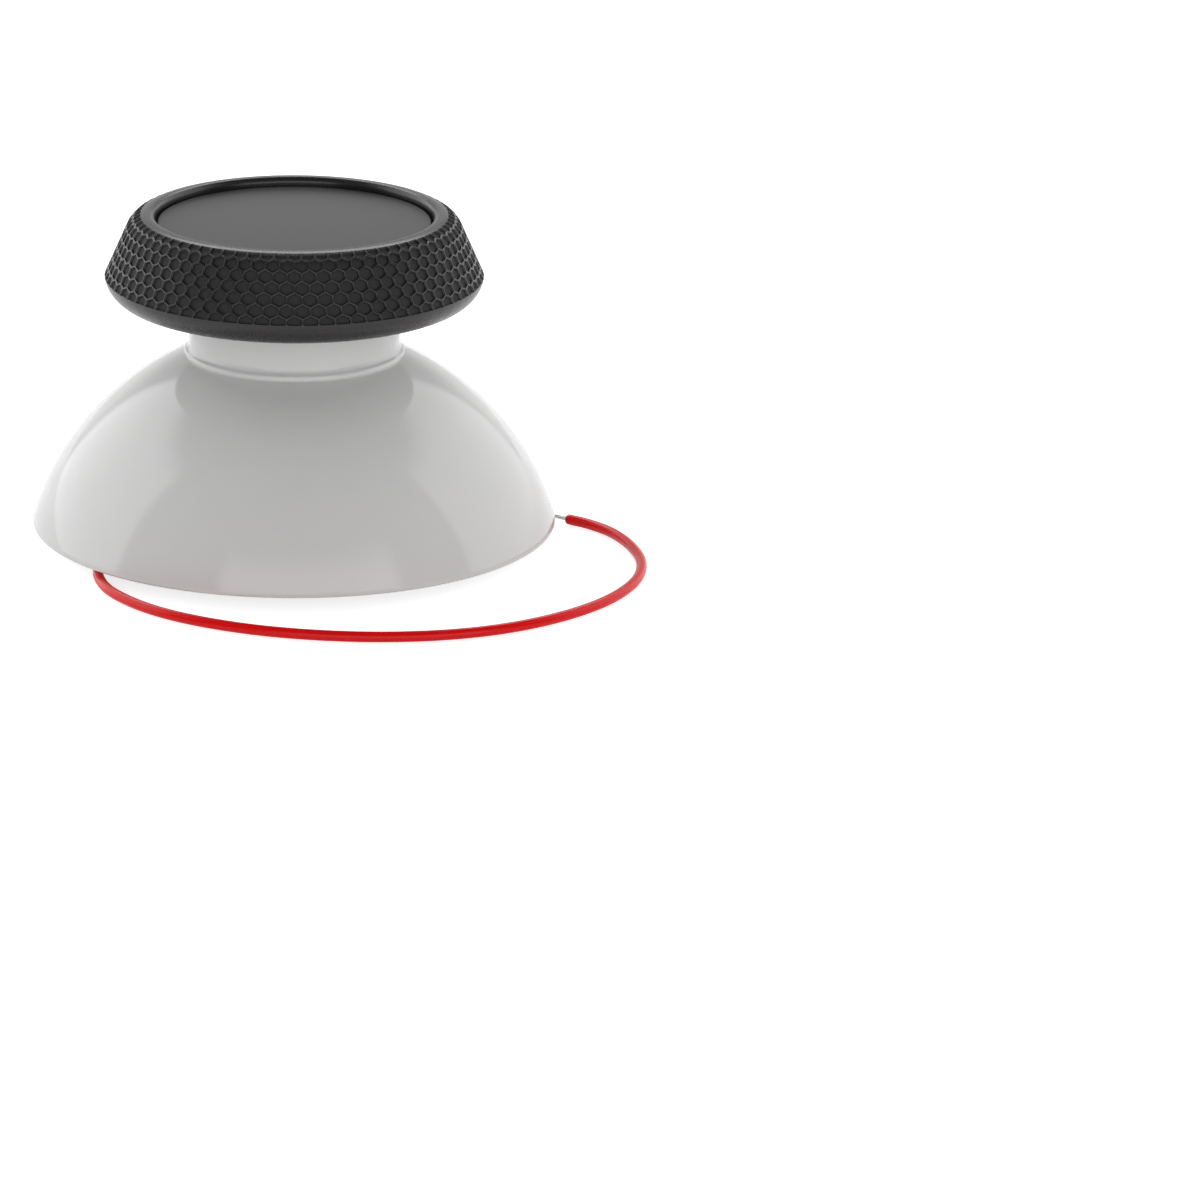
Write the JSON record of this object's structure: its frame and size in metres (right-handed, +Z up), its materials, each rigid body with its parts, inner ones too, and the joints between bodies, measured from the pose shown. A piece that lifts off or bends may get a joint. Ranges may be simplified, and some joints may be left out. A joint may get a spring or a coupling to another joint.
{
  "type": "controller thumbstick",
  "caption": "Replacement thumbstick for a game controller: white dome with socket post, black grip cap with a touch disc, and a thin sensing wire.",
  "frame": {"origin": "middle of the socket post's end, which is the lowest flat face, on the stick's axis", "axes": "+Z up along the stick's axis, from the dome to the cap; the wire comes out towards -X and -Y and ends on the +X side"},
  "size_m": [0.0291, 0.0295, 0.0158],
  "materials": {
    "white_gloss": "glossy white moulded plastic",
    "black_grip": "soft matt black with a honeycomb grip",
    "black_satin": "smooth satin black",
    "copper": "thin copper sheet",
    "solder": "tinned, bright",
    "red_insulation": "smooth red wire insulation"
  },
  "bodies": {
    "root": {"dome_stem": "white_gloss", "grip_cap": "black_grip", "touch_disc": "black_satin", "electrode_plate": "copper", "solder_joint": "solder", "signal_wire": "red_insulation", "wire_tip": "solder"}
  },
  "joints": []
}
